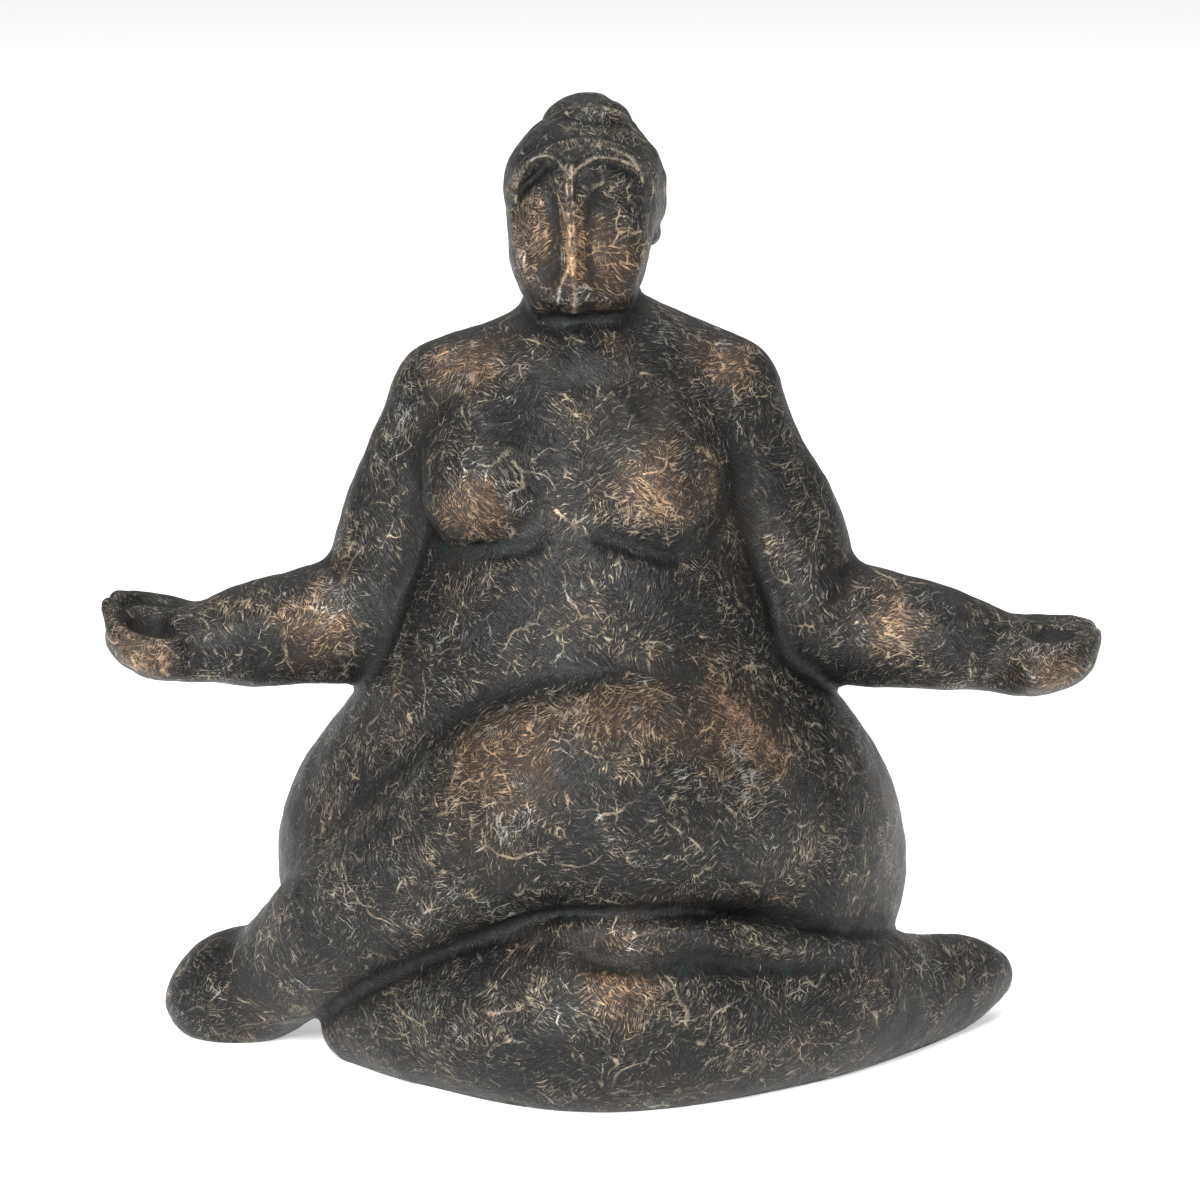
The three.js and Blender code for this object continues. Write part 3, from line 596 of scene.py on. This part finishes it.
def carve_figure():
    points, squares = lay_skin(*sample_space())
    mesh = bpy.data.meshes.new("seated_woman_finish")
    mesh.from_pydata(points.tolist(), [], squares.tolist())
    for region in (head_and_hands, face_and_bun, by_face_lines):
        split_edges(mesh, region(points_of(mesh)))
    form = bmesh.new()
    form.from_mesh(mesh)
    bmesh.ops.triangulate(form, faces=form.faces[:], quad_method="SHORT_EDGE")
    form.to_mesh(mesh)
    form.free()
    return mesh, settle(points_of(mesh))


mesh, skin = carve_figure()
print("triangles", len(mesh.polygons), "points", len(skin), skin.min(0), skin.max(0))

box_low, box_high = (np.array(corner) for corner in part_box("seated_woman"))
UNIT = (box_high[2] - box_low[2]) / FIGURE_HEIGHT  # metres for each millimetre of the figure
MIDDLE = (skin.min(0) + skin.max(0)) / 2 * (1, 1, 0)


def place(points):
    """Puts places given in the figure's own millimetres into the frame, in metres."""
    return (np.asarray(points, float) - MIDDLE) * UNIT + (box_low + box_high) / 2 * (1, 1, 0) + (0, 0, box_low[2])


# The hand's marks in the clay: soft swellings of these sizes and heights, in millimetres.
CLAY_MARKS = ((22.0, 0.7), (9.0, 0.4), (4.0, 0.2))


def marked(points, facings):
    """Points lifted or sunk by the marks; those of the sole stay down."""
    lift = np.zeros(len(points))
    for size, height in CLAY_MARKS:
        lift += height * np.array([noise.noise(Vector(place)) for place in points / size])
    free = points[:, 2] > SOLE_BAND
    return points + facings * (lift * free)[:, None]


def facings_of(mesh):
    found = np.empty(len(mesh.vertices) * 3)
    mesh.vertices.foreach_get("normal", found)
    return found.reshape(-1, 3)


mesh.vertices.foreach_set("co", skin.ravel())
mesh.update()
formed = marked(skin, facings_of(mesh))
mesh.vertices.foreach_set("co", np.clip(place(formed), box_low, box_high).ravel())
mesh.update()
mesh.shade_smooth()
woman = bpy.data.objects.new("seated_woman_finish", mesh)
bpy.context.scene.collection.objects.link(woman)


# What the patina needs to know of the form at each point
def bend_at(points, reach):
    """How the form bends over this reach: more than nil where it swells, less where it dips."""
    around = sum(distances(points + reach * side * np.eye(3)[axis]) for axis in range(3) for side in (-1, 1))
    return (around - 6 * distances(points)) / reach**2


# Places that hands and cloth have rubbed bright: each is a centre and how far it spreads.
RUBBED = (
    ((-48, -54, 234), 16), ((21, -54, 240), 17), ((-34, -93, 141), 20), ((15, -86, 155), 24),
    ((55, -68, 148), 26), ((8, -102, 54), 18), ((-55, -12, 283), 14), ((49, -12, 283), 14),
    ((-10, -30, 330), 22), ((-178, -27, 166), 12), ((180, -27, 162), 12), ((116, -22, 178), 14),
    ((-110, -20, 178), 16),
)


def rubbed(points):
    share = np.zeros(len(points))
    for centre, spread in RUBBED:
        share = np.maximum(share, np.exp(-((length(points - np.array(centre, float)) / spread) ** 2)))
    return share


def store(mesh, name, values):
    mesh.attributes.new(name, "FLOAT", "POINT").data.foreach_set("value", np.asarray(values, np.float32))


# The brush works in dabs. Each dab covers skin that lies near and faces alike, and has a flat sheet
# of its own, turned at random, on which its strokes are drawn.
DABS = 420
DAB_SIZE = 30.0
DAB_FACING = 1.3  # how much a change of facing counts, beside a distance of one dab size


def corner_values(mesh):
    """The points of every triangle, and each triangle's middle and facing."""
    corners = np.empty(len(mesh.loops), np.int32)
    mesh.loops.foreach_get("vertex_index", corners)
    corners = corners.reshape(-1, 3)
    across = np.cross(skin[corners[:, 1]] - skin[corners[:, 0]], skin[corners[:, 2]] - skin[corners[:, 0]])
    return corners, skin[corners].mean(1), across / np.maximum(length(across), 1e-9)[:, None]


def brush_sheets(mesh, name, first):
    """Stores for every corner where it lies on its dab's sheet, in millimetres."""
    corners, middles, facings = corner_values(mesh)
    traits = np.concatenate([middles / DAB_SIZE, facings * DAB_FACING], 1)
    chosen = [first % len(traits)]
    gap = np.full(len(traits), np.inf)
    dab = np.zeros(len(traits), int)
    for n in range(DABS):
        apart = np.einsum("ij,ij->i", traits - traits[chosen[-1]], traits - traits[chosen[-1]])
        dab[apart < gap] = n
        gap = np.minimum(gap, apart)
        chosen.append(int(gap.argmax()))
    chance = np.random.default_rng(first)
    normals = facings[chosen[:DABS]]
    along = np.cross(normals, chance.normal(size=normals.shape))
    along /= length(along)[:, None]
    across = np.cross(normals, along)
    shift = chance.uniform(-400, 400, (DABS, 2))
    points = skin[corners]
    u = np.einsum("ijk,ik->ij", points, along[dab]) + shift[dab, :1]
    v = np.einsum("ijk,ik->ij", points, across[dab]) + shift[dab, 1:]
    sheet = np.stack([u, v, np.zeros_like(u)], -1)
    layer = mesh.attributes.new(name, "FLOAT_VECTOR", "CORNER")
    layer.data.foreach_set("vector", sheet.astype(np.float32).ravel())


brush_sheets(mesh, "sheet_a", 11)
brush_sheets(mesh, "sheet_b", 5077)
store(mesh, "trim", np.exp(-((line_gap(skin) / LINE_WIDTH) ** 2)))
store(mesh, "rub", rubbed(skin))
store(mesh, "crest", ramp(bend_at(skin, 3.0), 0.06, 0.5))
# dip marks the hollows: there the light strokes thin out, verdigris gathers, and painted shade darkens them
store(mesh, "dip", ramp(-bend_at(skin, 6.0), 0.01, 0.10))

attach(woman, "root")
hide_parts("seated_woman")

# Finish. Sizes on the surface are in millimetres and every pattern follows the piece's own places.
def add(tree, kind, inputs=None, **settings):
    """Adds a shader node; an input is a plain value or the output that feeds it."""
    made = tree.nodes.new("ShaderNode" + kind)
    for name, value in settings.items():
        setattr(made, name, value)
    for socket, value in (inputs or {}).items():
        if isinstance(value, bpy.types.NodeSocket):
            tree.links.new(value, made.inputs[socket])
        else:
            made.inputs[socket].default_value = value
    return made


def reckon(tree, operation, a, b=0.0, c=0.0):
    return add(tree, "Math", {0: a, 1: b, 2: c}, operation=operation).outputs[0]


def step_between(tree, value, low, high, bottom=0.0, top=1.0):
    """Soft step: bottom below low, top above high."""
    sockets = {"Value": value, "From Min": low, "From Max": high, "To Min": bottom, "To Max": top}
    return add(tree, "MapRange", sockets, interpolation_type="SMOOTHSTEP").outputs["Result"]


def move(tree, vector, by):
    return add(tree, "VectorMath", {0: vector, 1: by}, operation="ADD").outputs[0]


def grow(tree, vector, by):
    return add(tree, "VectorMath", {0: vector, "Scale": by}, operation="SCALE").outputs[0]


def stretch(tree, vector, by):
    return add(tree, "VectorMath", {0: vector, 1: by}, operation="MULTIPLY").outputs[0]


def mottle(tree, at, size, detail=2.0, rough=0.5, shift=(0, 0, 0), output="Fac"):
    """Noise with patches about this many millimetres across."""
    sockets = {"Vector": move(tree, at, shift), "Scale": 1.0 / size, "Detail": detail, "Roughness": rough}
    return add(tree, "TexNoise", sockets).outputs[output]


def flat_mottle(tree, sheet, size, detail=2.0, rough=0.5, output="Fac"):
    sockets = {"Vector": sheet, "Scale": 1.0 / size, "Detail": detail, "Roughness": rough}
    return add(tree, "TexNoise", sockets, noise_dimensions="2D").outputs[output]


def flat_wobbled(tree, sheet, size, reach):
    push = move(tree, flat_mottle(tree, sheet, size, 1.0, 0.5, "Color"), (-0.5, -0.5, -0.5))
    return move(tree, sheet, grow(tree, push, 2 * reach))


def brushed(tree, sheet, patch, long, fine, detail=2.0):
    """Streaks on a sheet, of one direction in each patch, as a brush leaves them."""
    where = flat_wobbled(tree, sheet, patch * 0.5, patch * 0.4)
    cells = add(tree, "TexVoronoi", {"Vector": where, "Scale": 1.0 / patch}, voronoi_dimensions="2D")
    angle = reckon(tree, "MULTIPLY", add(tree, "SeparateXYZ", {0: cells.outputs["Color"]}).outputs[0], math.tau)
    bent = flat_wobbled(tree, sheet, long * 0.8, fine * 1.5)
    turned = add(tree, "VectorRotate", {"Vector": bent, "Angle": angle}, rotation_type="Z_AXIS").outputs[0]
    drawn = stretch(tree, turned, (1.0 / long, 1.0 / fine, 0.0))
    sockets = {"Vector": drawn, "Scale": 1.0, "Detail": detail, "Roughness": 0.62}
    return add(tree, "TexNoise", sockets, noise_dimensions="2D").outputs["Fac"]


def veins(tree, sheet, size, wander, line):
    """Thin wandering lines: the borders of wobbled cells, strong here and gone there."""
    where = flat_wobbled(tree, flat_wobbled(tree, sheet, size * 0.7, wander), 2.2, 0.7)
    sockets = {"Vector": where, "Scale": 1.0 / size}
    cells = add(tree, "TexVoronoi", sockets, feature="DISTANCE_TO_EDGE", voronoi_dimensions="2D")
    kept = step_between(tree, flat_mottle(tree, sheet, size * 0.5, 2.0, 0.6), 0.47, 0.60)
    drawn = step_between(tree, cells.outputs["Distance"], line / size * 0.25, line / size * 0.75, 1.0, 0.0)
    return reckon(tree, "MULTIPLY", drawn, kept)


def blend(tree, share, a, b):
    sockets = {0: share, 6: a, 7: b}
    return add(tree, "Mix", sockets, data_type="RGBA").outputs[2]


def colour(*rgb):
    return (*rgb, 1.0)


CHARCOAL = colour(0.016, 0.016, 0.016)
SOFT_BLACK = colour(0.004, 0.004, 0.004)
UMBER = colour(0.040, 0.027, 0.018)
PALE_GOLD = colour(0.42, 0.35, 0.26)
WARM_BRONZE = colour(0.52, 0.34, 0.20)
SILVER = colour(0.45, 0.45, 0.42)
VERDIGRIS = colour(0.010, 0.032, 0.026)


# The patina, with painted shade darkening its hollows and the gaps between parts.
def patina():
    finish = bpy.data.materials.new("dark_patina_and_painted_shade")
    finish.use_nodes = True
    tree = finish.node_tree
    shader = tree.nodes["Principled BSDF"]
    at = grow(tree, add(tree, "TexCoord").outputs["Object"], 1000.0)
    sheet_a = add(tree, "Attribute", attribute_name="sheet_a").outputs["Vector"]
    sheet_b = add(tree, "Attribute", attribute_name="sheet_b").outputs["Vector"]

    def attribute(name):
        return add(tree, "Attribute", attribute_name=name).outputs["Fac"]

    rub, dip, crest, trim = (attribute(name) for name in ("rub", "dip", "crest", "trim"))

    # how thickly the light strokes lie, from about 0 to 1
    cover = mottle(tree, at, 24.0, 3.0, 0.6, (13, 5, 40))
    cover = reckon(tree, "MULTIPLY_ADD", rub, 0.22, cover)
    cover = reckon(tree, "MULTIPLY_ADD", crest, 0.20, cover)
    cover = reckon(tree, "MULTIPLY_ADD", dip, -0.35, cover)

    broad = brushed(tree, sheet_a, 22.0, 7.0, 0.85)
    fine = brushed(tree, sheet_b, 13.0, 4.0, 0.42)
    lines = reckon(tree, "MAXIMUM", veins(tree, sheet_a, 15.0, 5.0, 0.6), veins(tree, sheet_b, 30.0, 9.0, 0.9))

    def laid(strokes, bare, full, soft):
        """Strokes that show where they are stronger than the cover lets through."""
        need = {"Value": cover, "From Min": 0.25, "From Max": 0.85, "To Min": bare, "To Max": full}
        edge = add(tree, "MapRange", need).outputs["Result"]
        return step_between(tree, reckon(tree, "SUBTRACT", strokes, edge), -soft, soft)

    brush = reckon(tree, "MAXIMUM", laid(broad, 0.80, 0.55, 0.08), laid(fine, 0.78, 0.53, 0.08))
    strength = step_between(tree, mottle(tree, at, 6.0, 3.0, 0.7, (3, 8, 1)), 0.30, 0.75, 0.12, 1.0)
    drawn = reckon(tree, "MULTIPLY", lines, step_between(tree, cover, 0.30, 0.60))
    gold = reckon(tree, "MULTIPLY", reckon(tree, "MAXIMUM", brush, drawn), strength)
    worn = step_between(tree, reckon(tree, "MULTIPLY", fine, strength), 0.10, 0.45, 0.0, 0.9)
    gold = reckon(tree, "MAXIMUM", gold, reckon(tree, "MULTIPLY", trim, worn))

    tinted = reckon(tree, "MULTIPLY_ADD", rub, 0.5, mottle(tree, at, 34.0, 2.0, 0.6, (7, 90, 2)))
    warmth = step_between(tree, tinted, 0.50, 1.0)
    coolness = step_between(tree, mottle(tree, at, 18.0, 2.0, 0.6, (70, 9, 21)), 0.52, 0.66)
    gilt = blend(tree, warmth, PALE_GOLD, WARM_BRONZE)
    gilt = blend(tree, reckon(tree, "MULTIPLY", coolness, 0.8), gilt, SILVER)

    ground = blend(tree, step_between(tree, broad, 0.35, 0.70), SOFT_BLACK, CHARCOAL)
    ground = blend(tree, reckon(tree, "MULTIPLY", warmth, 0.7), ground, UMBER)
    damp = step_between(tree, mottle(tree, at, 11.0, 3.0, 0.6, (1, 2, 3)), 0.58, 0.70)
    ground = blend(tree, reckon(tree, "MULTIPLY", damp, dip), ground, VERDIGRIS)
    # painted shade: hollows and the gaps between parts are darkened further toward soft black, on top of the
    # patina's own black lying in them
    ground = blend(tree, reckon(tree, "MULTIPLY", dip, 0.6), ground, SOFT_BLACK)

    tree.links.new(blend(tree, gold, ground, gilt), shader.inputs["Base Color"])
    tree.links.new(reckon(tree, "MULTIPLY_ADD", gold, 0.55, 0.20), shader.inputs["Metallic"])
    sheen = reckon(tree, "MULTIPLY_ADD", fine, 0.25, 0.30)
    tree.links.new(reckon(tree, "MULTIPLY_ADD", gold, -0.06, sheen), shader.inputs["Roughness"])

    relief = reckon(tree, "MULTIPLY_ADD", gold, 0.10, reckon(tree, "MULTIPLY", broad, 0.25))
    relief = reckon(tree, "MULTIPLY_ADD", fine, 0.15, relief)
    pressed = add(tree, "Bump", {"Strength": 1.0, "Distance": 0.0014, "Height": relief})
    tree.links.new(pressed.outputs["Normal"], shader.inputs["Normal"])
    shader.inputs["Specular IOR Level"].default_value = 0.30
    return finish


mesh.materials.append(patina())

# Studio
floor_mesh = bpy.data.meshes.new("floor")
floor_mesh.from_pydata([(-12, -12, 0), (12, -12, 0), (12, 12, 0), (-12, 12, 0)], [], [(0, 1, 2, 3)])
floor = bpy.data.objects.new("floor", floor_mesh)
bpy.context.scene.collection.objects.link(floor)
paper = bpy.data.materials.new("pale_paper")
paper.use_nodes = True
paper.node_tree.nodes["Principled BSDF"].inputs["Base Color"].default_value = (0.9, 0.9, 0.9, 1)
paper.node_tree.nodes["Principled BSDF"].inputs["Roughness"].default_value = 0.7
paper.node_tree.nodes["Principled BSDF"].inputs["Emission Color"].default_value = (1, 1, 1, 1)
paper.node_tree.nodes["Principled BSDF"].inputs["Emission Strength"].default_value = 0.45
floor_mesh.materials.append(paper)

# Camera: its height, distance and lens give the photograph's view of the figure.
CAMERA_TARGET = (0.0, 0.0, 184.0)
CAMERA_RISE = math.radians(12.0)
CAMERA_DISTANCE = 1700.0
SENSOR = 36.0
LENS = 127.5
away = np.array([0.0, -math.cos(CAMERA_RISE), math.sin(CAMERA_RISE)])
camera_data = bpy.data.cameras.new("camera")
camera_data.sensor_width = SENSOR
camera_data.lens = LENS
camera = bpy.data.objects.new("camera", camera_data)
camera.location = Vector(place(np.array(CAMERA_TARGET) + away * CAMERA_DISTANCE))
camera.rotation_euler = (math.pi / 2 - CAMERA_RISE, 0.0, 0.0)
bpy.context.scene.collection.objects.link(camera)
bpy.context.scene.camera = camera


def softbox(name, at, aim, width, power):
    light = bpy.data.lights.new(name, "AREA")
    light.shape = "SQUARE"
    light.size = width
    light.energy = power
    lamp = bpy.data.objects.new(name, light)
    lamp.location = at
    lamp.rotation_euler = (Vector(aim) - Vector(at)).to_track_quat("-Z", "Y").to_euler()
    bpy.context.scene.collection.objects.link(lamp)
    return lamp


softbox("front_softbox", (-0.5, -1.9, 1.2), (0, 0, 0.2), 0.5, 62)
softbox("top_softbox", (0, 1.0, 4.0), (0, 1.0, 0), 5.0, 110)
world = bpy.data.worlds.new("studio")
world.use_nodes = True
world.node_tree.nodes["Background"].inputs["Color"].default_value = (1, 1, 1, 1)
world.node_tree.nodes["Background"].inputs["Strength"].default_value = 0.42
bpy.context.scene.world = world
bpy.context.scene.view_settings.view_transform = "Standard"
